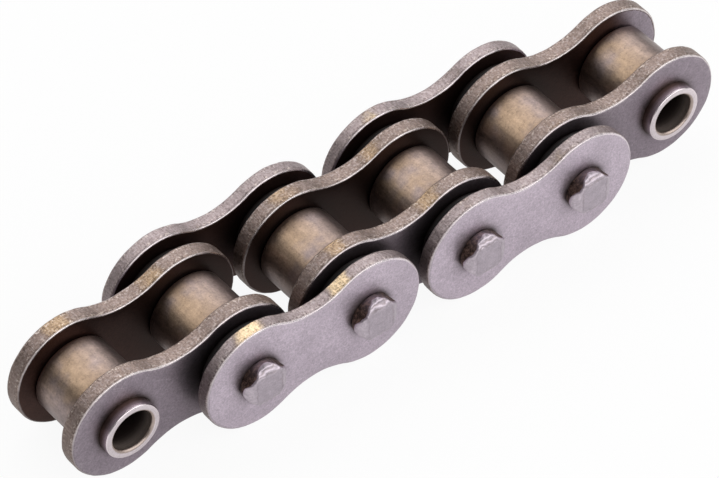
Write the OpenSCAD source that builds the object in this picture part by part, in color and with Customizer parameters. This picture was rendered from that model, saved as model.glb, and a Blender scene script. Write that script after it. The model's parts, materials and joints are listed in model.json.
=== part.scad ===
// Segment of a sealed roller chain for a motorcycle: inner links a, b and c, joined by riveted outer links 1 and 2.
// X runs along the chain, Y along the pins and Z up. The chain stands on the round lower edges of its plates.
// Pivots are numbered 1 to 6 along +X. The front side of the chain faces -Y.

/* [Chain] */
// Distance from one pivot to the next
pitch = 15.875; // [14:0.125:19]
// Space between the two plates of an inner link, which a sprocket tooth enters
inside_width = 7.94; // [6:0.02:10]

/* [Plates] */
// Thickness of an inner plate
inner_plate_t = 2.3; // [1.6:0.05:2.8]
// Thickness of an outer plate
outer_plate_t = 2; // [1.6:0.05:2.8]
// Gap between the round ends of neighbouring inner plates in a row
inner_end_gap = 1.175; // [0.5:0.025:2.5]
// Gap between the round ends of neighbouring outer plates in a row
outer_end_gap = 1.175; // [0.5:0.025:2.5]
// How far each long side of an inner plate is drawn in at its waist
inner_waist_in = 1.95; // [0.6:0.05:2.6]
// How far each long side of an outer plate is drawn in at its waist
outer_waist_in = 2.05; // [0.6:0.05:2.6]
// Radius that is rolled on the edges of every plate
edge_roll = 0.3; // [0.1:0.05:0.6]

/* [Pins] */
// Diameter of a pin
pin_d = 5.3; // [4.4:0.05:6]
// How far a riveted pin head stands out of its outer plate
head_h = 1.95; // [1.2:0.05:2.6]
// How far the four staked lips of a head reach past the pin
lip_reach = 0.35; // [0.1:0.05:0.6]
// Radius of one staked lip, seen along the pin
lip_r = 1.9; // [1.5:0.05:2.4]
// Width of the square land that the staking leaves on the end of a pin
land_w = 3.5; // [2.4:0.1:4.2]
// Angle at which a staked lip falls away from the land
stake_slope = 36; // [15:1:45]

/* [Bushes and rollers] */
// Wall of a bush
bush_wall = 1; // [0.7:0.05:1.3]
// Bevel on the ends of a bush
bush_bevel = 0.15; // [0.05:0.05:0.25]
// Outside diameter of a roller
roller_d = 10.16; // [9.4:0.02:11.5]
// Radius on the outer edges of a roller
roller_edge = 0.35; // [0.1:0.05:0.6]

/* [Seals] */
// Space between an inner and an outer plate, which holds a seal
seal_space = 1.8; // [1.4:0.05:2.4]
// Width of a seal's four-lobed section, measured from its bore to its rim
seal_w = 1.7; // [1.4:0.05:2]
// Radius of one lobe of the section
seal_lobe_r = 0.4; // [0.2:0.05:0.5]

/* [Clearances] */
// Radial clearance of a pin in its bush
pin_clearance = 0.05; // [0.02:0.01:0.1]
// Radial clearance of a roller on its bush
roller_clearance = 0.06; // [0.02:0.01:0.1]
// Clearance between a roller and each inner plate beside it
roller_side_clearance = 0.15; // [0.05:0.05:0.4]
// Clearance between the end of a bush and the outer plate
bush_end_clearance = 0.3; // [0.1:0.05:0.6]
// Clearance of a seal from the bush and the plates that it seals
seal_clearance = 0.05; // [0.02:0.01:0.1]

/* [Hidden] */
// Facets of a full circle, and steps in which a rolled edge turns through a right angle
$fn = 96;
roll_steps = 5;
// Tools that cut through a piece stand out of it by this much
cut_margin = 1;
// The waist block of a plate stops this far short of the ends' centres, so that the round ends cover its corners
waist_lap = 0.3;

inner_plate_h = pitch - inner_end_gap;
outer_plate_h = pitch - outer_end_gap;
axis_z = max(inner_plate_h, outer_plate_h) / 2;

// Distances from the middle of the chain to the faces of the plates and the ends of bushes and pins
inner_plate_y = inside_width / 2;
seal_y = inner_plate_y + inner_plate_t;
outer_plate_y = seal_y + seal_space;
rivet_y = outer_plate_y + outer_plate_t;
pin_end_y = rivet_y + head_h;
bush_end_y = outer_plate_y - bush_end_clearance;

bush_bore_d = pin_d + 2 * pin_clearance;
bush_d = bush_bore_d + 2 * bush_wall;
roller_bore_d = bush_d + 2 * roller_clearance;
roller_l = inside_width - 2 * roller_side_clearance;
seal_bore_r = bush_d / 2 + seal_clearance;
seal_h = seal_space - 2 * seal_clearance;

PIVOTS = [1:6];
JOINED_PIVOTS = [2:5];
INNER_LINKS = [["a", 1], ["b", 3], ["c", 5]];
OUTER_LINKS = [["1", 2], ["2", 4]];
SIDES = [["front", -1], ["back", 1]];

function pivot_x(i) = (i - 3.5) * pitch;

// Points of an arc about the centre c, from angle a0 to angle a1
function arc(c, r, a0, a1) =
  [for (k = [0:roll_steps]) let (a = a0 + (a1 - a0) * k / roll_steps) c + r * [cos(a), sin(a)]];

// Places a piece that is drawn along Z on pivot i, with its axis along Y
module on_pivot(i) {
  translate([pivot_x(i), 0, axis_z]) rotate([90, 0, 0]) children();
}

// Places a plate that is drawn flat with its middle at the origin beside the link that starts at pivot i
module beside_link(i, side, y, t) {
  translate([pivot_x(i) + pitch / 2, side * (y + t / 2), axis_z]) rotate([90, 0, 0]) children();
}

// A waisted plate with rolled edges: two round ends, and a block between them that is hollowed by two spools.
// The spools touch the round ends, so the outline runs smoothly from end to waist at every depth of the roll.
module plate(h, waist_in, t, hole_d) {
  end_r = h / 2;
  waist = end_r - waist_in;
  spool_r = ((pitch / 2) ^ 2 + waist ^ 2 - end_r ^ 2) / (2 * waist_in);
  spool_y = waist + spool_r;
  roll_z = t / 2 - edge_roll;
  rolled_end = concat(
    [[0, -t / 2]],
    arc([end_r - edge_roll, -roll_z], edge_roll, -90, 0),
    arc([end_r - edge_roll, roll_z], edge_roll, 0, 90),
    [[0, t / 2]]
  );
  rolled_spool = concat(
    [[0, -t / 2 - cut_margin], [spool_r + edge_roll, -t / 2 - cut_margin]],
    arc([spool_r + edge_roll, -roll_z], edge_roll, 270, 180),
    arc([spool_r + edge_roll, roll_z], edge_roll, 180, 90),
    [[spool_r + edge_roll, t / 2 + cut_margin], [0, t / 2 + cut_margin]]
  );
  block_x = pitch / 2 - waist_lap;
  difference() {
    union() {
      for (s = [-1, 1]) translate([s * pitch / 2, 0]) rotate_extrude() polygon(rolled_end);
      difference() {
        linear_extrude(t, center = true) polygon([[-block_x, 0], [0, -spool_y], [block_x, 0], [0, spool_y]]);
        for (s = [-1, 1]) translate([0, s * spool_y]) rotate_extrude() polygon(rolled_spool);
      }
    }
    for (s = [-1, 1]) translate([s * pitch / 2, 0]) cylinder(d = hole_d, h = t + 2 * cut_margin, center = true);
  }
}

// Inner plate, pressed on two bushes
module inner_plate(i, side) {
  color("#857b7a")
    beside_link(i, side, inner_plate_y, inner_plate_t)
      plate(inner_plate_h, inner_waist_in, inner_plate_t, bush_d);
}

// Outer plate, pressed on two pins and held by their riveted heads
module outer_plate(i, side) {
  color("#a39aa2")
    beside_link(i, side, outer_plate_y, outer_plate_t)
      plate(outer_plate_h, outer_waist_in, outer_plate_t, pin_d);
}

// Plain bearing tube with bevelled ends, which stand out of the inner plates and carry the seals
module bush(i) {
  bore_r = bush_bore_d / 2;
  rim_r = bush_d / 2;
  wall_y = bush_end_y - bush_bevel;
  one_end = [
    [bore_r, wall_y],
    [bore_r + bush_bevel, bush_end_y],
    [rim_r - bush_bevel, bush_end_y],
    [rim_r, wall_y]
  ];
  other_end = [for (k = [3:-1:0]) [one_end[k][0], -one_end[k][1]]];
  color("#c9c3c8") on_pivot(i) rotate_extrude() polygon(concat(one_end, other_end));
}

// Roller that turns freely on its bush
module roller(i) {
  bore_r = roller_bore_d / 2;
  edge_r = roller_d / 2 - roller_edge;
  edge_z = roller_l / 2 - roller_edge;
  color("#8a7660")
    on_pivot(i) rotate_extrude() polygon(concat(
      [[bore_r, -roller_l / 2]],
      arc([edge_r, -edge_z], roller_edge, -90, 0),
      arc([edge_r, edge_z], roller_edge, 0, 90),
      [[bore_r, roller_l / 2]]
    ));
}

// Pin with both ends staked on four sides: each lip spreads over the plate, and a square land stays in the middle
module pin(i) {
  lip_x = pin_d / 2 + lip_reach - lip_r;
  stake = 2 * pin_d;
  color("#b0a8ae")
    on_pivot(i) difference() {
      union() {
        cylinder(d = pin_d, h = 2 * pin_end_y, center = true);
        for (end = [0, 180]) rotate([end, 0, 0]) translate([0, 0, rivet_y])
          linear_extrude(head_h) for (q = [0:90:270]) rotate(q) translate([lip_x, 0]) circle(lip_r);
      }
      for (end = [0, 180], q = [0:90:270])
        rotate([end, 0, 0]) rotate(q) translate([land_w / 2, 0, pin_end_y]) rotate([0, stake_slope, 0])
          translate([0, -stake / 2, 0]) cube(stake);
    }
}

// Rubber seal ring with a four-lobed section, around the end of a bush
module seal(i, side) {
  lobe_x = seal_w / 2 - seal_lobe_r;
  lobe_z = seal_h / 2 - seal_lobe_r;
  color("#1c1a1b")
    on_pivot(i) translate([0, 0, -side * (seal_y + seal_space / 2)])
      rotate_extrude() translate([seal_bore_r + seal_w / 2, 0]) {
        square(2 * [lobe_x, lobe_z], center = true);
        for (x = [-1, 1], z = [-1, 1]) translate([x * lobe_x, z * lobe_z]) circle(seal_lobe_r, $fn = 32);
      }
}

for (l = INNER_LINKS, s = SIDES)
  inner_plate(l[1], s[1]);
for (l = OUTER_LINKS, s = SIDES)
  outer_plate(l[1], s[1]);
for (i = PIVOTS)
  bush(i);
for (i = PIVOTS)
  roller(i);
for (i = JOINED_PIVOTS)
  pin(i);
for (i = JOINED_PIVOTS, s = SIDES)
  seal(i, s[1]);
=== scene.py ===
# %% [markdown]
# A sealed roller chain, dressed in steel
#
# A motorcycle chain is a row of hinges. Inner links hold two bushes with a roller on each, outer links
# hold two pins, and a rubber ring seals the grease into every joint. The solids of all these pieces
# come from the CAD frame. This lesson gives each of them a finely meshed skin and a steel or rubber
# finish.
#
# The frame is loaded first, and its boxes are kept, because the skins take their sizes from them.

# %% Load the frame
import json
from types import SimpleNamespace

import bmesh
import bpy
import numpy as np
from mathutils import Matrix, Vector


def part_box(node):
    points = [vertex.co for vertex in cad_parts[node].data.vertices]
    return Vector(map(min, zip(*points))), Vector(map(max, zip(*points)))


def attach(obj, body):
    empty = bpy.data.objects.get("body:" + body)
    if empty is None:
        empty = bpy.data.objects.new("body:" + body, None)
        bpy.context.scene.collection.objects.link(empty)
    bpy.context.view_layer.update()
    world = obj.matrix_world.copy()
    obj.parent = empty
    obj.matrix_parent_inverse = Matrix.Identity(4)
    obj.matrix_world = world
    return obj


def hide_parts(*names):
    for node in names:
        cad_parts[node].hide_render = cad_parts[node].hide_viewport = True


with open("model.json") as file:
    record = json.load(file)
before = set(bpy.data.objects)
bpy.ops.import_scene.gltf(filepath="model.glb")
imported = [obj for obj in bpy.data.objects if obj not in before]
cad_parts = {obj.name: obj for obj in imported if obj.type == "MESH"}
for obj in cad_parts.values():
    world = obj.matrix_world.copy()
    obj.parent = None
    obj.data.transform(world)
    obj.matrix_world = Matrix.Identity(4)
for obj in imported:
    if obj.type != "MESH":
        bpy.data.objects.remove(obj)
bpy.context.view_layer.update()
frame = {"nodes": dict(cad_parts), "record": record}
MM = 0.001

# %% [markdown]
# Sizes
#
# A skin has to sit exactly on its solid, so nearly every size is read from the frame: the pivots from
# the joints, the others from the boxes of the nodes. A few sizes don't show in a box, such as the radius
# of a pin under its lips or the waist of a plate, and are written where they are first needed. All of
# them are in millimetres, because a chain is a small thing, and the last step of each mesh turns them
# into Blender's metres.

# %% Read the sizes
INNER_LINKS = {"a": 1, "b": 3, "c": 5}
OUTER_LINKS = {"1": 2, "2": 4}
SIDES = {"front": -1, "back": 1}
PIVOTS = range(1, 7)
JOINED_PIVOTS = range(2, 6)


def box_mm(node):
    """Lowest and highest corner of a CAD node, in millimetres."""
    low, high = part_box(node)
    return np.array(low) / MM, np.array(high) / MM


def outer_radius(node):
    """Half the height of a round node whose axis lies along Y."""
    low, high = box_mm(node)
    return (high[2] - low[2]) / 2


JOINTS = {joint["name"]: joint for joint in frame["record"]["behaviour"]["joints"]}
PIVOT = {i: np.array(JOINTS[f"roller_{i}_spin"]["pos_m"]) / MM for i in PIVOTS}
PITCH = np.linalg.norm(PIVOT[2] - PIVOT[1])
BORE_R = frame["record"]["mounts"][0]["dims"]["r_mm"]
BUSH_R = outer_radius("bush_1")
ROLLER_R = outer_radius("roller_1")
SEAL_R = outer_radius("seal_2_front")
LIP_TIP_R = outer_radius("pin_2")
print("pitch %.3f mm, roller %.2f, bush %.2f, bore %.2f" % (PITCH, 2 * ROLLER_R, 2 * BUSH_R, 2 * BORE_R))

# %% [markdown]
# From shapes to grids
#
# Every skin here is made of patches. A patch is a grid of points: rows run along the piece and columns
# run across it, and either way may close on itself. Whole arrays go into the mesh at once, which is
# quick and keeps the formula of the shape in sight. Each patch also carries the distance along and
# across it, so that grain can follow the surface, and a few marks, such as how near a point is to the
# rim, which the finishes read.

# %% Patches
MARKS = ("rim", "inside", "wear", "straw", "grime")
rng = np.random.default_rng(525)


def run_of(points):
    """Distance travelled along a row of points, starting at 0."""
    return np.concatenate([[0], np.cumsum(np.linalg.norm(np.diff(points, axis=0), axis=1))])


def patch(points, closed, along, across, **marks):
    """A grid of points with its closed directions, its two distances and its marks."""
    shape = points.shape[:2]
    full = {name: np.broadcast_to(marks.get(name, 0.0), shape) for name in MARKS}
    return {"points": points, "closed": closed, "along": along, "across": across, "marks": full}


def corners(rows, cols, closed):
    """Row and column of the four corners of every quad of a grid, not yet wrapped round."""
    each_row = np.arange(rows - 1 + closed[0])
    each_col = np.arange(cols - 1 + closed[1])
    r, c = np.meshgrid(each_row, each_col, indexing="ij")
    r = r.ravel()
    c = c.ravel()
    return np.stack([r, r + 1, r + 1, r], 1), np.stack([c, c, c + 1, c + 1], 1)


print("marks on every patch:", ", ".join(MARKS))

# %% [markdown]
# From grids to skins
#
# A skin is all the patches of one piece in one mesh. Patches meet at equal points, so merging those
# points closes the skin, and only then can Blender tell which way is out. The skin stands in for its CAD
# node: it rides on the same body, so it moves with the joints.

# %% Skins
MERGE_WITHIN = 1e-4
SHARP_ANGLE = np.radians(50)
SKINS = []


def joined(name, patches):
    """All patches of a piece in one mesh, with distances as a UV map and marks as attributes."""
    points, faces, uvs = [], [], []
    marks = {key: [] for key in MARKS}
    first = 0
    for p in patches:
        rows, cols = p["points"].shape[:2]
        r, c = corners(rows, cols, p["closed"])
        faces.append(first + (r % rows) * cols + c % cols)
        uvs.append(np.stack([p["along"][r], p["across"][c]], -1).reshape(-1, 2))
        points.append(p["points"].reshape(-1, 3))
        for key in MARKS:
            marks[key].append(p["marks"][key].ravel())
        first += rows * cols
    mesh = bpy.data.meshes.new(name)
    mesh.from_pydata(np.concatenate(points) * MM, [], np.concatenate(faces))
    grain = mesh.uv_layers.new(name="grain")
    grain.data.foreach_set("uv", np.concatenate(uvs).astype(np.float32).ravel())
    for key in MARKS:
        layer = mesh.attributes.new(key, "FLOAT", "POINT")
        layer.data.foreach_set("value", np.concatenate(marks[key]).astype(np.float32))
    return mesh


def closed_up(mesh):
    """Merges equal points, turns faces outwards and shades them smooth, except across sharp edges."""
    shell = bmesh.new()
    shell.from_mesh(mesh)
    bmesh.ops.remove_doubles(shell, verts=shell.verts, dist=MERGE_WITHIN * MM)
    bmesh.ops.recalc_face_normals(shell, faces=shell.faces)
    shell.to_mesh(mesh)
    shell.free()
    mesh.polygons.foreach_set("use_smooth", np.ones(len(mesh.polygons), bool))
    mesh.set_sharp_from_angle(angle=SHARP_ANGLE)
    return mesh


def dress(node, patches, finish):
    """Puts a skin in place of a CAD node: it rides on the node's body and takes the finish."""
    piece = bpy.data.objects.new(f"{node}_skin", closed_up(joined(node, patches)))
    bpy.context.scene.collection.objects.link(piece)
    piece.data.materials.append(finish)
    body = next(b for b, nodes in frame["record"]["behaviour"]["bodies"].items() if node in nodes)
    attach(piece, body)
    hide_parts(node)
    SKINS.append(piece)


print("nodes to dress:", len(frame["nodes"]))

# %% [markdown]
# Shader sums
#
# A finish is a sum of patterns. Writing it as one needs a small class that holds a socket: `1 - mask` or
# `spots * 0.2` then adds the Math node by itself. One more method makes any other node.

# %% A socket with operators


class Wire:
    """One socket of a material's nodes. Sums of wires and numbers add Math nodes."""

    def __init__(self, tree, socket=None):
        self.tree = tree
        self.socket = socket

    def via(self, kind, settings, sockets, output=0):
        """Adds a node: its settings come first, then the values or links of its sockets."""
        node = self.tree.nodes.new(kind)
        for key, value in settings.items():
            setattr(node, key, value)
        for key, value in sockets.items():
            if isinstance(value, Wire):
                self.tree.links.new(value.socket, node.inputs[key])
            else:
                node.inputs[key].default_value = value
        return Wire(self.tree, node.outputs[output])

    def math(self, operation, *values):
        """Adds a Math node for the operation, with its values in order."""
        return self.via("ShaderNodeMath", {"operation": operation}, dict(enumerate(values)))

    def __add__(self, other):
        return self.math("ADD", self, other)

    __radd__ = __add__

    def __sub__(self, other):
        return self.math("SUBTRACT", self, other)

    def __rsub__(self, other):
        return self.math("SUBTRACT", other, self)

    def __mul__(self, other):
        return self.math("MULTIPLY", self, other)

    __rmul__ = __mul__

    def step(self, low, high):
        """0 below low, 1 above high, and a smooth rise between them."""
        settings = {"interpolation_type": "SMOOTHSTEP"}
        sockets = {"Value": self, "From Min": low, "From Max": high}
        return self.via("ShaderNodeMapRange", settings, sockets)

    def spread(self, low, high):
        """Carries 0 to 1 over to low to high."""
        return self * (high - low) + low

    def blend(self, first, second):
        """Mixes two colours, with this wire as the share of the second."""
        first, second = [c if isinstance(c, Wire) else (*c, 1.0) for c in (first, second)]
        return self.via("ShaderNodeMix", {"data_type": "RGBA"}, {0: self, 6: first, 7: second}, 2)

    def shade(self, colour):
        """A colour made lighter or darker by this wire, which is 1 where the colour stays."""
        grey = self.via("ShaderNodeCombineColor", {}, {0: self, 1: self, 2: self})
        settings = {"data_type": "RGBA", "blend_type": "MULTIPLY"}
        sockets = {0: 1.0, 6: colour if isinstance(colour, Wire) else (*colour, 1.0), 7: grey}
        return self.via("ShaderNodeMix", settings, sockets, 2)


print("a wire can:", ", ".join(name for name in vars(Wire) if not name.startswith("_")))

# %% [markdown]
# A finish in the making
#
# Steel looks real through small unevenness at several scales, so every finish here mixes noises at the
# place of a point in millimetres. Where grain follows the surface, as on a sheared rim, the noise is read
# along the UV map instead and stretched into streaks.

# %% Noises and finishes


def noise(at, scale, detail=2.0, roughness=0.5):
    """Cloudy noise from 0 to 1 at a place in millimetres, with about `scale` clouds to the millimetre."""
    sockets = {"Vector": at, "Scale": scale, "Detail": detail, "Roughness": roughness}
    return at.via("ShaderNodeTexNoise", {"noise_dimensions": "3D"}, sockets, 0)


class Finish:
    """A metal or rubber finish that is being mixed: its places, its marks and its shader."""

    def __init__(self, name):
        self.material = bpy.data.materials.new(name)
        self.material.use_nodes = True
        self.tree = self.material.node_tree
        self.shader = self.tree.nodes["Principled BSDF"]
        start = Wire(self.tree)
        metres = start.via("ShaderNodeTexCoord", {}, {}, "Object")
        to_mm = {0: metres, "Scale": 1 / MM}
        self.place = start.via("ShaderNodeVectorMath", {"operation": "SCALE"}, to_mm)
        self.run = start.via("ShaderNodeUVMap", {"uv_map": "grain"}, {})

    def mark(self, name):
        """One of the marks that the patches carry."""
        return self.place.via("ShaderNodeAttribute", {"attribute_name": name}, {}, "Fac")

    def streak(self, along, across):
        """The place on the surface, stretched so that noise on it runs in streaks."""
        sockets = {0: self.run, 1: (along, across, 0.0)}
        return self.place.via("ShaderNodeVectorMath", {"operation": "MULTIPLY"}, sockets)

    def scuffs(self, degrees):
        """Noise that is drawn out into long scuffs across the faces, at an angle to the chain."""
        turn = (0.0, np.radians(degrees), 0.0)
        sockets = {"Vector": self.place, "Rotation": turn, "Scale": (5.0, 1.0, 0.22)}
        return noise(self.place.via("ShaderNodeMapping", {"vector_type": "TEXTURE"}, sockets), 1.0, 2.0)

    def bump(self, height, depth):
        """A normal that is tilted by a height pattern, with depth in millimetres."""
        sockets = {"Height": height, "Strength": 1.0, "Distance": depth * MM}
        return height.via("ShaderNodeBump", {}, sockets)

    def set(self, **sockets):
        """Fills sockets of the shader: links where a value changes over the surface, else numbers."""
        for key, value in sockets.items():
            socket = self.shader.inputs[key.replace("_", " ")]
            if isinstance(value, Wire):
                self.tree.links.new(value.socket, socket)
            else:
                socket.default_value = value
        return self.material


print("a finish can:", ", ".join(name for name in vars(Finish) if not name.startswith("_")))

# %% [markdown]
# Plate steel
#
# Link plates are stamped from strip. Their faces come out of the blasting drum matte and slightly lilac,
# with a few long scuffs, and the faces that look at the rollers are black with oil and painted shade. Rims
# keep the grain of the shear, which runs through the thickness and crumbles towards both edges into bright
# chips and dark pits. Heat treatment leaves brown patches on them with straw specks inside, and these sit
# where the rims face up, so they are painted highlights too. Handling polishes the rolled corners, and the
# corners that face up are painted brighter as a painted highlight. Rims that face left are painted darker as
# painted shade. The marks tell the finish where it is: one tells faces from rims, one finds the oily and
# shaded faces and the edges of a rim, one the heat patches and painted highlights, one the polished and
# painted-lit places, and one the dirt and painted shade.

# %% Plate finishes
# The oily black stands for oil and for painted shade in the cavity between the plates.
OIL_AND_SHADE_BLACK = (0.075, 0.04, 0.033)
SCUFF_BRIGHT = (0.7, 0.64, 0.68)
CHIP_BRIGHT = (0.8, 0.7, 0.62)
PIT_DARK = (0.07, 0.05, 0.045)
RUBBED_AND_LIT = (0.66, 0.6, 0.62)
# The chain dirt colour is dirt, and also painted shade around the pins and bushes and between the plates.
CHAIN_DIRT_AND_SHADE = (0.045, 0.031, 0.027)


def blasted_face(f, tone, face, oily_and_shaded):
    """Colour of a face: blasted steel with scuffs, under the oil and painted shade of the side that looks at
    the rollers.
    """
    scuffed = (f.scuffs(28).step(0.6, 0.72) + f.scuffs(-47).step(0.62, 0.74)) * 0.13
    return tone.shade(oily_and_shaded.blend(scuffed.blend(face, SCUFF_BRIGHT), OIL_AND_SHADE_BLACK))


def heated_and_lit_rim(f, tone, crumbs, rim, brown, straw):
    """Colour of a rim: sheared steel that is browned by heat, with straw specks inside the brown that are
    also painted highlights where the rim faces up.
    """
    patchy = noise(f.place, 0.32, 3.0, 0.6)
    tint = (patchy * 0.7 + f.mark("straw") * 0.46).step(0.36, 0.88)
    browned = (tint.step(0.02, 0.35) * 0.5).blend(rim, brown)
    speckled = tint.step(0.15, 0.95) * crumbs.step(0.34, 0.6).spread(0.5, 1.0)
    return tone.shade(speckled.blend(browned, straw))


def crumbled(colour, crumbly, crumbs):
    """A rim colour with bright chips and dark pits, most of them where the shear has crumbled."""
    chips = crumbly * crumbs.step(0.52, 0.66) * 0.8
    pits = crumbly.spread(0.35, 1.0) * (1 - crumbs.step(0.34, 0.45)) * 0.75
    return pits.blend(chips.blend(colour, CHIP_BRIGHT), PIT_DARK)


def plate_finish(name, face, rim, brown, straw, polish_and_highlight):
    """Blasted faces and a sheared rim, with polished corners between them that are painted brighter where
    they face up as a painted highlight, and dirt and painted shade over all.
    """
    f = Finish(name)
    cloud = noise(f.place, 0.22, 2.0)
    mottle = noise(f.place, 1.4, 3.0, 0.6)
    grain = noise(f.place, 4.2, 2.0, 0.7)
    crumbs = noise(f.place, 3.6, 2.0, 0.7)
    shear = noise(f.streak(4.6, 0.7), 1.0, 3.0, 0.65)
    flat = f.mark("rim")
    on_rim = flat.step(0.35, 0.9)
    # Painted highlight: the corner mask follows the rolled corner and is strongest where the rim faces up.
    corner = flat.step(0.12, 0.42) * (1 - flat.step(0.62, 0.95)) * f.mark("wear")
    oily_and_shaded = f.mark("inside").step(0.55, 0.95)
    from_middle = f.mark("inside") - 0.5
    crumbly = from_middle.math("ABSOLUTE", from_middle).step(0.08, 0.3) * mottle.step(0.36, 0.6)

    face_tone = cloud.spread(0.82, 1.18) * mottle.spread(0.82, 1.18) * grain.spread(0.5, 1.5)
    rim_tone = cloud.spread(0.8, 1.2) * shear.spread(0.45, 1.55) * grain.spread(0.6, 1.4)
    rim_steel = crumbled(heated_and_lit_rim(f, rim_tone, crumbs, rim, brown, straw), crumbly, crumbs)
    steel = on_rim.blend(blasted_face(f, face_tone, face, oily_and_shaded), rim_steel)

    whole = mottle.step(0.3, 0.6).spread(0.7, 1.0) * crumbs.step(0.28, 0.5).spread(0.68, 1.0)
    polished_and_lit = (corner * whole).blend(steel, polish_and_highlight)
    # Rubs are real rubbing, and where the rims face up they are also a painted highlight.
    rubs_and_glints = f.mark("wear") * crumbs.step(0.45, 0.7) * (1 - oily_and_shaded) * 0.3
    # Dirt and painted shade over all: near the holes, under the grease and on the rims that face left.
    dirty_and_shaded = (f.mark("grime") * mottle.spread(0.7, 1.2)).blend(rubs_and_glints.blend(polished_and_lit, RUBBED_AND_LIT), CHAIN_DIRT_AND_SHADE)
    rough = on_rim * 0.05 + grain.spread(0.34, 0.54) - corner * 0.24
    relief = grain * 0.6 + on_rim * (shear * 1.3 + grain + crumbs * crumbly)
    normal = f.bump(relief * (1 - corner), 0.03)
    return f.set(Base_Color=dirty_and_shaded, Metallic=1.0, Roughness=rough, Normal=normal)


outer_steel = plate_finish(
    "outer_plate_steel",
    face=(0.578, 0.498, 0.57),
    rim=(0.365, 0.3, 0.3),
    brown=(0.2, 0.146, 0.108),
    straw=(0.95, 0.73, 0.45),
    polish_and_highlight=(0.92, 0.84, 0.86),
)
# The inner plates' faces are painted darker than the outer ones, partly for the painted shade that the outer
# plates cast on them.
inner_steel = plate_finish(
    "inner_plate_steel",
    face=(0.31, 0.26, 0.3),
    rim=(0.292, 0.222, 0.195),
    brown=(0.165, 0.115, 0.083),
    straw=(0.48, 0.335, 0.205),
    polish_and_highlight=(0.92, 0.84, 0.84),
)
print("plate finishes:", outer_steel.name, inner_steel.name)

# %% [markdown]
# Outline of a link plate
#
# A link plate is waisted: two round ends, joined by hollow flanks that touch them smoothly. The outline
# is a chain of arcs, so both a point and its outward direction are known everywhere along it. A curve
# object could draw the same line, but would hide where the arcs meet, and heat patches sit just there.

# %% Outline of a plate
WAIST_IN = {"inner": 1.95, "outer": 2.05}
END_STEPS = 250
FLANK_STEPS = 55


def flank_arc(end_r, waist_in):
    """Radius of a flank's hollow arc, and the height of its centre above the middle of the plate."""
    waist = end_r - waist_in
    flank_r = ((PITCH / 2) ** 2 + waist**2 - end_r**2) / (2 * waist_in)
    return flank_r, waist + flank_r


def plate_outline(end_r, waist_in):
    """Outline and outward directions: flank arcs about points above and below the waist, and round
    ends between them."""
    flank_r, top = flank_arc(end_r, waist_in)
    lean = np.arctan2(top, PITCH / 2)
    arcs = [
        ((0, -top), flank_r, np.pi / 2, lean, FLANK_STEPS, -1),
        ((PITCH / 2, 0), end_r, lean - np.pi, np.pi - lean, END_STEPS, 1),
        ((0, top), flank_r, -lean, -np.pi / 2, FLANK_STEPS, -1),
        ((0, top), flank_r, -np.pi / 2, lean - np.pi, FLANK_STEPS, -1),
        ((-PITCH / 2, 0), end_r, lean, 2 * np.pi - lean, END_STEPS, 1),
        ((0, -top), flank_r, np.pi - lean, np.pi / 2, FLANK_STEPS, -1),
    ]
    points, outward = [], []
    for centre, radius, start, stop, steps, sign in arcs:
        angle = np.linspace(start, stop, steps, endpoint=False)
        ray = np.stack([np.cos(angle), np.sin(angle)], 1)
        points.append(np.array(centre) + radius * ray)
        outward.append(sign * ray)
    return np.concatenate(points), np.concatenate(outward)


def edge_distance(x, z, end_r, waist_in):
    """How far a point lies inside the outline: measured to a round end, or to a flank between ends."""
    flank_r, top = flank_arc(end_r, waist_in)
    x, z = np.abs(x), np.abs(z)
    to_end = end_r - np.hypot(x - PITCH / 2, z)
    to_flank = np.hypot(x, z - top) - flank_r
    return np.where(top * (PITCH / 2 - x) > z * PITCH / 2, to_flank, to_end)


print("points along the outline of a plate:", 2 * END_STEPS + 4 * FLANK_STEPS)

# %% [markdown]
# Rim of a link plate
#
# The blanking die drags the faces down a little before it shears through, and tumbling rolls the edges
# unevenly. The rim is a profile carried along the outline: roll of the front edge, sheared band, roll of
# the back edge. Extrusion and a bevel modifier would give the same form, but not the even grid along the
# rim that the shear marks need.

# %% Rim of a plate
EDGE_ROLL = 0.34
ROLL_STEPS = 8
BAND_STEPS = 12
SHEAR_DEPTH = 0.015
DIE_ROLL = 0.09
DIE_ROLL_REACH = 0.7
# Heat patches that are also painted highlights: they sit where the rims face up.
HEAT_AND_HIGHLIGHT_AFTER = np.array([0.3, 4.5])
HEAT_AND_HIGHLIGHT_W = 1.8
# Painted shade: rims that face left are painted darker.
LEFT_FACING_SHADE = 0.3


def die_drop(distance):
    """How far a face has been dragged down near its edge by the blanking die: it fades inwards."""
    return DIE_ROLL * np.exp((EDGE_ROLL - distance) / DIE_ROLL_REACH)


def waves(run, count, shortest, longest):
    """A closed wavy line about 0 along a loop: cosines of random length and phase that fit the loop."""
    total = run[-1]
    cycles = np.round(total / rng.uniform(shortest, longest, count))
    phase = rng.uniform(0, 2 * np.pi, count)
    return np.cos(2 * np.pi * np.outer(run[:-1] / total, cycles) + phase).sum(1) / np.sqrt(count)


def rolled_edges(run):
    """Radius of the roll along the front and the back edge: EDGE_ROLL, times long and short waves."""
    rolls = {}
    for side in (-1, 1):
        uneven = 1 + 0.12 * waves(run, 12, 2.0, 9.0) + 0.03 * waves(run, 20, 0.5, 1.5)
        rolls[side] = EDGE_ROLL * np.clip(uneven, 0.5, 1.6)
    return rolls


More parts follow.
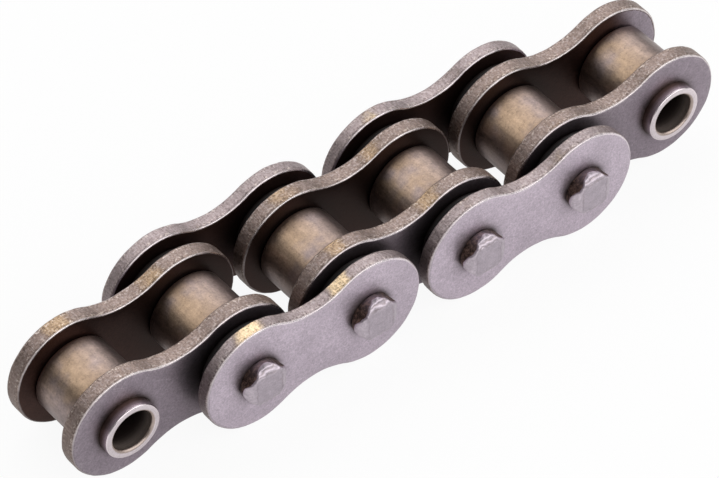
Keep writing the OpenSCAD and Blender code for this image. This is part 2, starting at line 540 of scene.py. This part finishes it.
def rim_grid(run, thick, rolls):
    """Inset from the outline and depth through the plate: front roll, sheared band and back roll at
    each point. How squarely each column faces outwards comes with them."""
    turn = np.linspace(0, np.pi / 2, ROLL_STEPS + 1)
    front, back = rolls[-1][:, None], rolls[1][:, None]
    front_y = -thick / 2 + die_drop(front) + front * (1 - np.cos(turn))
    back_y = thick / 2 - die_drop(back) - back * (1 - np.cos(turn[::-1]))
    share = np.linspace(0, 1, BAND_STEPS + 1)[1:-1]
    band_y = front_y[:, -1:] * (1 - share) + back_y[:, :1] * share
    nibbled = SHEAR_DEPTH * (1 + waves(run, 40, 0.4, 3.0) / 2)[:, None]
    front_inset = front * (1 - np.sin(turn)) + nibbled * np.sin(turn) ** 4
    band_inset = np.broadcast_to(nibbled, band_y.shape)
    back_inset = back * (1 - np.sin(turn[::-1])) + nibbled * np.sin(turn[::-1]) ** 4
    inset = np.concatenate([front_inset, band_inset, back_inset], 1)
    depth = np.concatenate([front_y, band_y, back_y], 1)
    flat = np.concatenate([np.sin(turn), np.ones(BAND_STEPS - 1), np.sin(turn[::-1])])
    return inset, depth, flat


def rim_patch(plate, outline, outward, run, rolls):
    """The rim: the outline moved inwards by the inset, at each depth. Heat patches, which are also painted
    highlights, are bell curves a little past the two places where an end meets the upper flank."""
    inset, depth, flat = rim_grid(run, plate.thick, rolls)
    xz = outline[:, None] - inset[..., None] * outward[:, None]
    points = np.stack([xz[..., 0], depth, xz[..., 1]], -1)
    across = run_of(np.stack([inset[0], depth[0]], 1))
    shoulders = run[[FLANK_STEPS + END_STEPS, 3 * FLANK_STEPS + END_STEPS]] + HEAT_AND_HIGHLIGHT_AFTER
    heat_and_highlight = np.exp(-(((run[:-1, None] - shoulders) / HEAT_AND_HIGHLIGHT_W) ** 2)).sum(1)
    marks = {
        "rim": flat,
        "inside": plate.inner_side * depth / plate.thick + 0.5,
        # Painted highlight: this mark grows where the rim faces up, so the corners there get the bright
        # polish colour.
        "wear": 0.3 + 0.7 * np.clip(outward[:, 1:], 0, 1),
        "straw": plate.tint * heat_and_highlight[:, None],
        # Painted shade on the rims that face left.
        "grime": LEFT_FACING_SHADE * np.clip(-outward[:, :1], 0, 1),
    }
    return patch(points, (True, False), run, across, **marks)


print("columns across a rim:", 2 * (ROLL_STEPS + 1) + BAND_STEPS - 1)

# %% [markdown]
# Faces of a link plate
#
# A face has two holes, so it is cut across the waist into two halves. Each half is a ring of rays that
# run from the edge to its hole. The points of a ray lie closer together at both ends, where the die roll
# and the dirt and painted shade around the hole need them. The seals let some grease out over the inner
# plates, and oil covers the faces that look at the rollers. Both films also carry painted shade, between
# the outer plates and inside the chain, and the oil is painted lighter towards the last pivot as painted
# light. Both films are marks, worked out from the place of each point.

# %% Faces of a plate
MIDLINE_STEPS = 40
EDGE_SHARES = [0, 0.012, 0.03, 0.055]
HOLE_SHARES = [0.87, 0.93, 0.97, 1]
RAY_SHARES = np.concatenate([EDGE_SHARES, np.linspace(0.09, 0.8, 11), HOLE_SHARES])
HOLE_STEPS = 3
GRIME_AND_SHADE_REACH = 0.45
GREASE_AND_SHADE = 0.85
GREASE_AND_SHADE_REACH = 2.3
# Painted light: the oily faces of the last inner link are painted lighter towards its open end.
OIL_THINNED_AND_LIT = 0.42
LIGHTER_FROM = -1
LIGHTER_OVER = 5
WEAR_REACH = 0.4


def grease_and_shade_film(xz, sealed_ends):
    """Share of the grease that a seal lets out, which also stands for painted shade between the outer
    plates: full under the ring, fading over the plate around it.
    """
    film = np.zeros(xz.shape[:-1])
    for end in sealed_ends:
        past_seal = np.linalg.norm(xz - np.array([end * PITCH / 2, 0]), axis=-1) - SEAL_R
        film += GREASE_AND_SHADE * np.exp(-np.maximum(past_seal, 0) / GREASE_AND_SHADE_REACH)
    return np.minimum(film, GREASE_AND_SHADE)


def oil_and_shade_film(x, wiped):
    """Share of the oil and painted shade on a face that looks at the rollers: full, or painted thinner and
    lighter about the last pivot as painted light.
    """
    return 1 - wiped * OIL_THINNED_AND_LIT * np.clip((x - PITCH / 2 - LIGHTER_FROM) / LIGHTER_OVER, 0, 1)


def half_loops(edge):
    """Two closed loops, one for each hole: half of the edge, and the line across the waist."""
    half = len(edge) // 2
    heights = np.linspace(edge[half, 1], edge[0, 1], MIDLINE_STEPS + 1)
    midline = np.stack([np.zeros(MIDLINE_STEPS + 1), heights], 1)
    right = np.concatenate([edge[: half + 1], midline[1:-1]])
    left = np.concatenate([edge[half:], edge[:1], midline[::-1][1:-1]])
    return {1: right, -1: left}


def face_patches(plate, loop, end, side):
    """Half a face, as rays from its loop to its hole at the depth that the die left, and half the wall
    of the hole behind it."""
    centre = np.array([end * PITCH / 2, 0])
    ray = (loop - centre) / np.linalg.norm(loop - centre, axis=1)[:, None]
    hole = centre + plate.hole_r * ray
    xz = loop[:, None] + RAY_SHARES[:, None] * (hole - loop)[:, None]
    inwards = edge_distance(xz[..., 0], xz[..., 1], plate.end_r, plate.waist_in)
    y = side * (plate.thick / 2 - die_drop(inwards))
    face = np.stack([xz[..., 0], y, xz[..., 1]], -1)
    around = run_of(np.concatenate([loop, loop[:1]]))
    gap = np.linalg.norm(xz - centre, axis=-1) - plate.hole_r
    marks = {
        "inside": oil_and_shade_film(xz[..., 0], plate.wiped) if side == plate.inner_side else 0.0,
        "wear": np.exp((EDGE_ROLL - inwards) / WEAR_REACH),
        "grime": np.maximum(np.exp(-gap / GRIME_AND_SHADE_REACH), grease_and_shade_film(xz, plate.sealed_ends)),
    }
    wall_y = y[:, -1:] * np.linspace(1, 0, HOLE_STEPS)
    wall_x = np.broadcast_to(hole[:, :1], wall_y.shape)
    wall_z = np.broadcast_to(hole[:, 1:], wall_y.shape)
    wall = np.stack([wall_x, wall_y, wall_z], -1)
    down = np.linspace(0, plate.thick / 2, HOLE_STEPS)
    return [
        patch(face, (True, False), around, RAY_SHARES * plate.end_r, **marks),
        patch(wall, (True, False), around, down, rim=1.0, grime=1.0),
    ]


print("points along a ray from edge to hole:", len(RAY_SHARES))

# %% [markdown]
# Plates on their links
#
# A plate belongs to a link, and a link lies between two pivots. Its frame is therefore the line from one
# pivot to the next, and the patches are carried there before they become a mesh. Some plates came out of
# the furnace with stronger heat patches than others, so each has its own share of tint, which also sets
# the strength of the painted highlights on its rims.

# %% Dress the plates
HEAT_AND_HIGHLIGHT_TINT = {
    ("1", "front"): 1.1,
    ("2", "back"): 0.35,
    ("a", "back"): 0.9,
    ("b", "front"): 1.0,
    ("b", "back"): 0.8,
}
FAINT_TINT = 0.2
PIN_R = 2.65


def plate_patches(plate):
    """Patches of a plate in its own frame: X from hole to hole, Z up, Y through the thickness."""
    outline, outward = plate_outline(plate.end_r, plate.waist_in)
    run = run_of(np.concatenate([outline, outline[:1]]))
    rolls = rolled_edges(run)
    patches = [rim_patch(plate, outline, outward, run, rolls)]
    for side in (-1, 1):
        edge = outline - rolls[side][:, None] * outward
        for end, loop in half_loops(edge).items():
            patches += face_patches(plate, loop, end, side)
    return patches


def on_link(patches, first, middle_y):
    """Carries patches from a link's own frame to its place between two neighbouring pivots."""
    start, stop = PIVOT[first], PIVOT[first + 1]
    ahead = (stop - start) / PITCH
    up = np.cross(ahead, (0, 1, 0))
    for p in patches:
        x, y, z = np.moveaxis(p["points"], -1, 0)[..., None]
        p["points"] = (start + stop) / 2 + x * ahead + z * up + (y + middle_y) * np.array([0, 1, 0])
    return patches


def dress_plate(kind, name, first, side, hole_r, finish):
    """Dresses one plate of the link that starts at the pivot `first`."""
    node = f"{kind}_plate_{name}_{side}"
    low, high = box_mm(node)
    lean = abs(PIVOT[first + 1][0] - PIVOT[first][0])
    pivot_at = {-1: first, 1: first + 1}
    plate = SimpleNamespace(
        end_r=(high[0] - low[0] - lean) / 2,
        waist_in=WAIST_IN[kind],
        thick=high[1] - low[1],
        hole_r=hole_r,
        inner_side=-SIDES[side],
        tint=HEAT_AND_HIGHLIGHT_TINT.get((name, side), FAINT_TINT),
        sealed_ends=[end for end in pivot_at if kind == "inner" and pivot_at[end] in JOINED_PIVOTS],
        wiped=first + 1 == max(PIVOTS),
    )
    patches = on_link(plate_patches(plate), first, (low[1] + high[1]) / 2)
    dress(node, patches, finish)


for side in SIDES:
    for name, first in INNER_LINKS.items():
        dress_plate("inner", name, first, side, BUSH_R, inner_steel)
    for name, first in OUTER_LINKS.items():
        dress_plate("outer", name, first, side, PIN_R, outer_steel)
print("plates:", len(SKINS), "with", sum(len(s.data.polygons) for s in SKINS), "faces")

# %% [markdown]
# Turned parts
#
# Rollers, bushes and seals are round, so each of them is a profile carried once round its pivot, as a
# lathe or a Screw modifier would do it. The profiles of rollers and bushes start as sharp rectangles.
# Their corners become arcs, and long sides get more points, so that marks can change along them.

# %% Turned parts
ROUND_STEPS = 192
ROUND_ANGLES = np.linspace(0, 2 * np.pi, ROUND_STEPS, endpoint=False)


def turned(profile, pivot, **marks):
    """A closed profile of radius and Y, carried once round the pivot's axis."""
    radius, y = profile.T
    x = pivot[0] + np.outer(np.cos(ROUND_ANGLES), radius)
    z = pivot[2] + np.outer(np.sin(ROUND_ANGLES), radius)
    points = np.stack([x, np.broadcast_to(y + pivot[1], x.shape), z], -1)
    along = np.linspace(0, 2 * np.pi * radius.max(), ROUND_STEPS + 1)
    across = run_of(np.concatenate([profile, profile[:1]]))
    return [patch(points, (True, True), along, across, **marks)]


def softened(corner_points, radii, steps):
    """A closed outline whose corners are rounded: each corner becomes an arc between its two sides."""
    corner_points = np.asarray(corner_points, float)
    before = np.roll(corner_points, 1, axis=0)
    after = np.roll(corner_points, -1, axis=0)
    t = np.linspace(0, np.pi / 2, steps)[:, None]
    arcs = []
    for previous, here, following, radius in zip(before, corner_points, after, radii):
        back = (previous - here) / np.linalg.norm(previous - here)
        on = (following - here) / np.linalg.norm(following - here)
        arcs.append(here + radius * ((1 - np.sin(t)) * back + (1 - np.cos(t)) * on))
    return np.concatenate(arcs)


def subdivided(outline, spacing):
    """The same closed outline with extra points, so that no side is longer than the spacing."""
    pieces = []
    for start, stop in zip(outline, np.roll(outline, -1, axis=0)):
        steps = max(1, int(np.ceil(np.linalg.norm(stop - start) / spacing)))
        pieces.append(start + (stop - start) * np.arange(steps)[:, None] / steps)
    return np.concatenate(pieces)


def tube_profile(inner_r, outer_r, low_y, high_y, inner_round, outer_round):
    """Four corners of a tube's wall, from the bore's lower end round to its upper end, and their radii."""
    corner_points = [(inner_r, low_y), (outer_r, low_y), (outer_r, high_y), (inner_r, high_y)]
    return corner_points, (inner_round, outer_round, outer_round, inner_round)


print("points round each turned part:", ROUND_STEPS)

# %% [markdown]
# Rollers
#
# A roller turns freely on its bush and meets the teeth of the sprocket. It comes out of heat treatment
# with a lilac-brown skin that shades to bronze on its upper left side, where the bronze is also a painted
# warm highlight, so the tint is a bell curve of the angle. The finish adds grain that is drawn along the
# roller, dark pits and golden specks. The skin is painted darker near the ends, as painted shade beside the
# plates where oil collects too, and the rounded edges are polished and painted brighter as a painted
# highlight.

# %% Dress the rollers
ROLLER_EDGE = 0.35
ROLLER_BORE_EDGE = 0.1
ROLLER_GAP = 0.06
# Painted highlight: the bronze side faces up and to the left, where the light falls.
TINT_AND_HIGHLIGHT_ANGLE = np.radians(122)
TINT_AND_HIGHLIGHT_SPREAD = np.radians(42)
END_SHADE_REACH = 1.2


def roller_finish():
    """Skin from lilac-brown to bronze, the bronze both heat tint and a painted highlight, with pits and
    specks, painted shade towards its ends and a painted highlight on its rounded edges.
    """
    f = Finish("roller_bronze")
    cloud = noise(f.place, 0.3, 2.0)
    mottle = noise(f.place, 1.2, 3.0, 0.6)
    grain = noise(f.place, 4.0, 3.0, 0.7)
    flakes = noise(f.place, 2.6, 4.0, 0.75)
    drawn = noise(f.streak(1.6, 0.2), 1.0, 2.0)
    pitted = (1 - flakes.step(0.33, 0.44)) * 0.25
    tone = grain.spread(0.55, 1.45) * mottle.spread(0.66, 1.34) * drawn.spread(0.7, 1.3) * (1 - pitted)
    tint = f.mark("straw") * cloud.step(0.3, 0.6)
    skin = tint.blend((0.308, 0.243, 0.232), (0.37, 0.264, 0.182))
    specks = flakes.step(0.58, 0.72) * mottle.step(0.45, 0.6) * 0.5
    golden = specks.blend(tone.shade(skin), (0.66, 0.52, 0.38))
    # Painted shade, with some oil: the skin darkens towards both ends.
    dull_and_shaded = (f.mark("wear") * 0.6).blend(golden, tone.shade((0.1, 0.068, 0.054)))
    # Painted highlight: the rounded edges are painted brighter, as well as polished.
    ends = (f.mark("rim") * 0.8).blend(dull_and_shaded, (0.5, 0.42, 0.38))
    rough = grain.spread(0.32, 0.5) - f.mark("rim") * 0.1
    return f.set(Base_Color=ends, Metallic=1.0, Roughness=rough, Normal=f.bump(grain + drawn, 0.018))


roller_bronze = roller_finish()
tinted_and_lit_side = np.exp(-(((ROUND_ANGLES - TINT_AND_HIGHLIGHT_ANGLE) / TINT_AND_HIGHLIGHT_SPREAD) ** 2))[:, None]
for i in PIVOTS:
    low, high = box_mm(f"roller_{i}")
    wall = tube_profile(BUSH_R + ROLLER_GAP, ROLLER_R, low[1], high[1], ROLLER_BORE_EDGE, ROLLER_EDGE)
    profile = subdivided(softened(*wall, steps=7), 0.3)
    to_end = np.minimum(profile[:, 1] - low[1], high[1] - profile[:, 1])
    marks = {
        "wear": np.exp(-((to_end / END_SHADE_REACH) ** 1.5)),
        "rim": np.clip(1.4 - to_end / ROLLER_EDGE, 0, 1),
        "straw": tinted_and_lit_side,
    }
    dress(f"roller_{i}", turned(profile, PIVOT[i], **marks), roller_bronze)
print("rollers dressed,", len(SKINS), "pieces so far")

# %% [markdown]
# Bushes
#
# A bush is a plain tube that is pressed into both inner plates, and the pin turns in it. Its ends stand
# out and are ground bright, with fine rings. Further in, its outside is browned, and its bore is painted
# from bare steel at the mouth to black deeper down: painted shade, with some oil. One material does all of
# it, by marks for the bore, the ground end and the mouth.

# %% Dress the bushes
BORE_ROUND = 0.42
RIM_ROUND = 0.22
BORE_SKIN = 0.34
GROUND_DEPTH = 0.8
LIT_MOUTH_DEPTH = 1.1


def bush_finish():
    """Ground steel with fine rings on its ends, a browned outside, and a bore that is painted dark deeper
    down as painted shade and oil, where it isn't all metal.
    """
    f = Finish("bush_ground_steel")
    grain = noise(f.place, 3.4, 2.0, 0.7)
    rings = noise(f.streak(0.15, 7.0), 1.0, 2.0)
    tone = grain.spread(0.85, 1.15) * rings.spread(0.75, 1.25)
    side = f.mark("rim").blend((0.17, 0.12, 0.098), (0.74, 0.66, 0.685))
    # Painted light and shade: the bore is painted bright at its mouth and dark deeper down.
    bore = f.mark("wear").blend((0.016, 0.011, 0.01), (0.46, 0.375, 0.335))
    oily_and_shaded = f.mark("inside").blend(tone.shade(side), tone.shade(bore))
    metal = 1 - f.mark("inside") * (1 - f.mark("wear")) * 0.9
    rough = rings.spread(0.13, 0.33) + f.mark("inside") * 0.1
    normal = f.bump(rings + grain, 0.01)
    return f.set(Base_Color=oily_and_shaded, Metallic=metal, Roughness=rough, Normal=normal, Specular_IOR_Level=0.15)


bush_steel = bush_finish()
for i in PIVOTS:
    low, high = box_mm(f"bush_{i}")
    wall = tube_profile(BORE_R, BUSH_R, low[1], high[1], BORE_ROUND, RIM_ROUND)
    profile = subdivided(softened(*wall, steps=8), 0.4)
    depth = high[1] - np.abs(profile[:, 1])
    marks = {
        "inside": np.clip((BORE_R + BORE_SKIN - profile[:, 0]) / 0.1, 0, 1),
        "rim": np.clip((GROUND_DEPTH - depth) / 0.5, 0, 1),
        "wear": np.exp(-((depth / LIT_MOUTH_DEPTH) ** 2)),
    }
    dress(f"bush_{i}", turned(profile, PIVOT[i], **marks), bush_steel)
print("bushes dressed,", len(SKINS), "pieces so far")

# %% [markdown]
# Seal rings
#
# The seal is a four-lobed ring, which keeps two lips on each plate. Its section is a circle whose radius
# swells four times on the way round, and it too is carried round the pivot. Black greased rubber needs no
# metal: a dark base, some sheen of grease and a fine grain are enough.

# %% Dress the seals
SECTION_STEPS = 48
LOBE_SHARE = 0.17
SEAL_GAP = 0.05


def seal_section(width, height):
    """Four-lobed section about the origin: the radius is largest on the diagonals, least on the axes."""
    turn = np.linspace(0, 2 * np.pi, SECTION_STEPS, endpoint=False)
    radius = 1 - LOBE_SHARE * (1 + np.cos(4 * turn))
    xy = radius[:, None] * np.stack([np.cos(turn), np.sin(turn)], 1)
    return xy / xy.max() * np.array([width, height]) / 2


def seal_finish():
    """Black rubber with a film of grease."""
    f = Finish("seal_rubber")
    speck = noise(f.place, 4.0, 3.0)
    film = noise(f.place, 0.5, 2.0)
    black = speck.spread(0.7, 1.3).shade((0.021, 0.017, 0.016))
    return f.set(Base_Color=black, Roughness=film.spread(0.22, 0.5), Normal=f.bump(speck, 0.01))


seal_rubber = seal_finish()
for i in JOINED_PIVOTS:
    for side in SIDES:
        low, high = box_mm(f"seal_{i}_{side}")
        bore = BUSH_R + SEAL_GAP
        rim = (high[2] - low[2]) / 2
        section = seal_section(rim - bore, high[1] - low[1])
        section = section + np.array([(bore + rim) / 2, (low[1] + high[1]) / 2])
        dress(f"seal_{i}_{side}", turned(section, PIVOT[i] * (1, 0, 1)), seal_rubber)
print("seals dressed,", len(SKINS), "pieces so far")

# %% [markdown]
# Staked heads
#
# A riveting press strikes the end of each pin on four sides. Every blow squeezes out a lip that spreads
# over the plate, and a flat land stays in the middle. Seen along the pin, the head is a clover of four
# circles. Its height falls from the sides of the square land to the lips, and there the tool leaves
# ripples and pushes up a bead. Sculpting could make one such head. A formula with random folds makes
# all eight, each of them a little different.

# %% Shape of a staked head
LIP_R = 1.9
LAND_W = 3.5
STAKE_SLOPE = np.radians(36)
LIP_ROUND = 0.18
LIP_BEAD = 0.1
BEAD_AT = 0.84
BEAD_W = 0.1
RAGGED = 0.07
WRINKLE = 0.03
RIPPLES = 2.4
RIPPLE_WANDER = 0.22
DENTS = 0.014
CREASE_W = 0.08
# Painted shade, with some dirt, in the creases beside the land and in the valleys of the folds.
CREASE_DIRT_AND_SHADE = 0.22
VALLEY_DIRT_AND_SHADE = 0.45


def clover(angle):
    """Outer radius of a head: the reach of the lip circle nearest to this angle, or the pin itself."""
    centre = LIP_TIP_R - LIP_R
    off = (angle + np.pi / 4) % (np.pi / 2) - np.pi / 4
    lip = centre * np.cos(off) + np.sqrt(LIP_R**2 - (centre * np.sin(off)) ** 2)
    return np.maximum(lip, PIN_R)


def crumple(x, z, count, shortest, longest):
    """Random folds about 0: cosines that run in random directions, with random lengths and phases."""
    turn = rng.uniform(0, 2 * np.pi, count)
    wave = 2 * np.pi / rng.uniform(shortest, longest, count)
    phase = rng.uniform(0, 2 * np.pi, count)
    way = np.multiply.outer(x, wave * np.cos(turn)) + np.multiply.outer(z, wave * np.sin(turn))
    return np.cos(way + phase).sum(-1) / np.sqrt(count)


def head_shape(x, z, tip_r, tall):
    """Height of a head above its plate: a flat land, and lips that bend down ever more steeply from its
    four sides, with a bead, ripples, dents and a round rim. The share of each point in the lips, and the
    dirt and painted shade in creases and valleys, come with it as marks."""
    lip_w = LIP_TIP_R - LAND_W / 2
    way = (np.abs(x) ** 10 + np.abs(z) ** 10) ** 0.1 - LAND_W / 2
    ragged = way + RAGGED * crumple(x, z, 10, 0.7, 1.6) * np.clip(1 + way, 0, 1)
    out = np.clip(ragged / lip_w, 0, 1)
    on_lip = np.clip(out / 0.3, 0, 1)
    upright = 1 / (1 + (x / np.maximum(np.abs(z), 1e-6)) ** 4)

    stake = lip_w * np.tan(STAKE_SLOPE) * out**1.8
    bead = LIP_BEAD * np.exp(-(((out - BEAD_AT) / BEAD_W) ** 2)) * upright
    folded = on_lip * np.clip((0.9 - out) / 0.2, 0.2, 1) * (0.15 + 0.85 * upright)
    ripple = np.cos(2 * np.pi * (RIPPLES * out + RIPPLE_WANDER * crumple(x, z, 12, 0.7, 1.5)))
    folds = WRINKLE * ripple * folded
    dents = DENTS * (crumple(x, z, 14, 0.6, 1.8) - 2)
    rim = np.clip(tip_r - np.hypot(x, z), 0, LIP_ROUND)
    fall = LIP_ROUND - np.sqrt(LIP_ROUND**2 - (LIP_ROUND - rim) ** 2)
    height = np.minimum(tall - stake + bead + folds + dents - fall, tall)

    creases = CREASE_DIRT_AND_SHADE * np.exp(-((ragged / CREASE_W) ** 2)) * (1 - upright)
    valleys = VALLEY_DIRT_AND_SHADE * np.clip(-folds / WRINKLE, 0, 1) * upright
    return height, on_lip, np.maximum(creases, valleys)


print("a head: land %.1f mm wide, lips %.2f mm from the axis" % (LAND_W, LIP_TIP_R))

# %% [markdown]
# Pins
#
# One grid runs from the tip of a pin over its head, down the side, along the shaft and up to the other
# tip. The steel is satin, a little brighter on the lips, and a brown crust of dirt and painted shade sits
# at the foot of each head. The very top of the side is painted a little lighter, as painted light.

# %% Dress the pins
PIN_STEPS = 256
FOOT_Y = [-0.02, -0.5]
# Painted light: the top of each head's side is painted a little lighter.
LIT_TOP_SHARE = 0.35


def pin_patch(pivot, plate_y, tip_y):
    """One grid from tip to tip: over the head, down its side, along the shaft, and the same mirrored.
    The steps over the head get finer towards its rim."""
    angle = np.linspace(0, 2 * np.pi, PIN_STEPS, endpoint=False)[:, None]
    tip_r = clover(angle)
    share = np.concatenate([np.linspace(0, 0.9, 46), 1 - 0.1 * np.linspace(0.97, 0, 14) ** 2])
    down = np.linspace(1, 0, 12)[1:]
    radius = share * tip_r
    wall_r = PIN_R + (tip_r - PIN_R) * down**0.5
    shaft_r = np.full((PIN_STEPS, len(FOOT_Y)), PIN_R)
    foot_y = np.broadcast_to(FOOT_Y, shaft_r.shape)
    below = np.ones((PIN_STEPS, len(down) + len(FOOT_Y)))
    soiled_and_shaded = below - LIT_TOP_SHARE * np.clip(np.sin(angle), 0, 1) ** 8
    r = np.concatenate([radius, wall_r, shaft_r], 1)
    ends = []
    for _ in SIDES:
        x, z = radius * np.cos(angle), radius * np.sin(angle)
        height, lip, dirt_and_shade = head_shape(x, z, tip_r, tip_y - plate_y)
        y = plate_y + np.concatenate([height, height[:, -1:] * down, foot_y], 1)
        dirt_and_shade = np.concatenate([dirt_and_shade, soiled_and_shaded], 1)
        ends.append(np.stack([y, r, dirt_and_shade, np.concatenate([lip, below], 1)]))
    front, back = ends
    front[0] *= -1
    y, r, dirt_and_shade, lip = np.concatenate([front, back[:, :, ::-1]], 2)
    points = np.stack([pivot[0] + r * np.cos(angle), y, pivot[2] + r * np.sin(angle)], -1)
    across = np.linspace(0, 2 * (tip_y + PIN_R), y.shape[1])
    along = np.linspace(0, 2 * np.pi * PIN_R, PIN_STEPS + 1)
    return [patch(points, (True, False), along, across, grime=dirt_and_shade, wear=lip)]


def pin_finish():
    """Satin steel, a little brighter on the lips, with a crust of dirt and painted shade at the foot of the
    head.
    """
    f = Finish("pin_satin_steel")
    grain = noise(f.place, 4.0, 3.0, 0.7)
    cloud = noise(f.place, 0.9, 2.0)
    lumps = noise(f.place, 2.2, 4.0, 0.75)
    tone = grain.spread(0.55, 1.45) * cloud.spread(0.8, 1.2)
    steel = tone.shade(f.mark("wear").blend((0.48, 0.42, 0.47), (0.55, 0.483, 0.533)))
    crust = lumps.step(0.4, 0.68).blend((0.05, 0.034, 0.028), (0.27, 0.185, 0.14))
    dirty_and_shaded = f.mark("grime").blend(steel, crust)
    rough = grain.spread(0.32, 0.52) + f.mark("grime") * 0.1
    return f.set(Base_Color=dirty_and_shaded, Metallic=1.0, Roughness=rough, Normal=f.bump(grain, 0.02))


pin_steel = pin_finish()
for i in JOINED_PIVOTS:
    tip_y = box_mm(f"pin_{i}")[1][1]
    link = next(name for name, first in OUTER_LINKS.items() if i in (first, first + 1))
    plate_y = box_mm(f"outer_plate_{link}_back")[1][1]
    dress(f"pin_{i}", pin_patch(PIVOT[i], plate_y, tip_y), pin_steel)
print("pins dressed,", len(SKINS), "pieces in all")

# %% [markdown]
# Floor
#
# The chain stands on white paper. To the camera the floor shines nearly white by itself and keeps a soft
# shadow. Mirrored rays see it darker, because steel shows what it mirrors, and the plate faces look down
# at the floor.

# %% Studio floor
FLOOR_SIZE = 3.0
CAMERA_SHARE = 0.93
MIRROR_SHARE = 0.42


def ray_share(tree):
    """How much the floor shines by itself: most for the camera, less for mirrored and refracted rays."""
    path = Wire(tree)
    seen = path.via("ShaderNodeLightPath", {}, {}, "Is Camera Ray") * CAMERA_SHARE
    mirrored = path.via("ShaderNodeLightPath", {}, {}, "Is Glossy Ray") * MIRROR_SHARE
    refracted = path.via("ShaderNodeLightPath", {}, {}, "Is Transmission Ray") * MIRROR_SHARE
    return seen.math("MAXIMUM", seen.math("MAXIMUM", seen, mirrored), refracted)


def floor_finish():
    """White paper that shines a little for the camera, so that it reads as white around the object."""
    material = bpy.data.materials.new("studio_white")
    material.use_nodes = True
    tree = material.node_tree
    tree.nodes.remove(tree.nodes["Principled BSDF"])
    share = ray_share(tree)
    paper = share.via("ShaderNodeBsdfDiffuse", {}, {"Color": (0.85, 0.85, 0.85, 1.0)})
    shine = share.via("ShaderNodeEmission", {}, {"Color": (1.0, 1.0, 1.0, 1.0), "Strength": 1.0})
    mixed = share.via("ShaderNodeMixShader", {}, {0: share, 1: paper, 2: shine})
    tree.links.new(mixed.socket, tree.nodes["Material Output"].inputs["Surface"])
    return material


half = FLOOR_SIZE / 2
floor_corners = [(-half, -half, 0), (half, -half, 0), (half, half, 0), (-half, half, 0)]
floor_mesh = bpy.data.meshes.new("studio_floor")
floor_mesh.from_pydata(floor_corners, [], [(0, 1, 2, 3)])
floor = bpy.data.objects.new("studio_floor", floor_mesh)
floor_mesh.materials.append(floor_finish())
bpy.context.scene.collection.objects.link(floor)
print("floor:", FLOOR_SIZE, "m square")

# %% [markdown]
# Light
#
# Bare steel is lit by broad soft boxes, which it mirrors. The rims and rollers look up and back, so the
# box behind the chain gives them their sheen. The box in front lights the polished corners, the lips of
# the pins and the ground ends of the bushes. A little light from all sides opens the shadows.

# %% Lamps and world
LAMP_DISTANCE = 0.7
KEY_BOX = {"azimuth": 24, "elevation": 38, "width": 1.6, "height": 0.7, "watts": 5.7}
BACK_BOX = {"azimuth": 168, "elevation": 48, "width": 1.5, "height": 0.6, "watts": 5.4}
AIR_STRENGTH = 0.2


def direction(azimuth, elevation):
    """Unit vector towards an azimuth, counted in degrees from the front, and an elevation."""
    a, e = np.radians([azimuth, elevation])
    return Vector((np.sin(a) * np.cos(e), -np.cos(a) * np.cos(e), np.sin(e)))


def soft_box(name, target, azimuth, elevation, width, height, watts):
    """A lamp with a broad face that looks at the target from an azimuth and an elevation."""
    lamp = bpy.data.lights.new(name, "AREA")
    lamp.shape = "RECTANGLE"
    lamp.size = width
    lamp.size_y = height
    lamp.energy = watts
    holder = bpy.data.objects.new(name, lamp)
    ray = direction(azimuth, elevation)
    turn = ray.to_track_quat("Z", "Y").to_matrix().to_4x4()
    holder.matrix_world = Matrix.Translation(target + ray * LAMP_DISTANCE) @ turn
    bpy.context.scene.collection.objects.link(holder)


middle = Vector(PIVOT[1] + PIVOT[6]) / 2 * MM
soft_box("key_box", middle, **KEY_BOX)
soft_box("back_box", middle, **BACK_BOX)

world = bpy.data.worlds.new("studio_air")
bpy.context.scene.world = world
world.use_nodes = True
air = world.node_tree.nodes["Background"]
air.inputs["Color"].default_value = (1.0, 1.0, 1.0, 1.0)
air.inputs["Strength"].default_value = AIR_STRENGTH
print("soft boxes: %.1f W in front, %.1f W behind" % (KEY_BOX["watts"], BACK_BOX["watts"]))

# %% [markdown]
# Camera
#
# The photograph looks down on the chain with a long lens from the front left. The angles, the distance
# and the focal length come from fitting the outlines of the plates in the picture.

# %% Camera
IMAGE_W = 719
SENSOR_W = 36
CAMERA_AZIMUTH = -38.21
CAMERA_ELEVATION = 46.24
CAMERA_ROLL = -0.48
CAMERA_DISTANCE = 0.577
FOCAL_PIXELS = 5015
AIM_FROM_MIDDLE = Vector((-1.36, 0.16, -0.68)) * MM

camera_data = bpy.data.cameras.new("photo_camera")
camera_data.sensor_width = SENSOR_W
camera_data.lens = FOCAL_PIXELS / IMAGE_W * SENSOR_W
camera_data.clip_start = 0.01
camera = bpy.data.objects.new("photo_camera", camera_data)
back = direction(CAMERA_AZIMUTH, CAMERA_ELEVATION)
roll = Matrix.Rotation(np.radians(CAMERA_ROLL), 3, "Z")
turn = back.to_track_quat("Z", "Y").to_matrix() @ roll
place = middle + AIM_FROM_MIDDLE + back * CAMERA_DISTANCE
camera.matrix_world = Matrix.Translation(place) @ turn.to_4x4()
bpy.context.scene.collection.objects.link(camera)
bpy.context.scene.camera = camera
bpy.context.scene.view_settings.view_transform = "Standard"
print("camera: %.0f mm lens at %.2f m" % (camera_data.lens, CAMERA_DISTANCE))

# %% [markdown]
# End of the scene
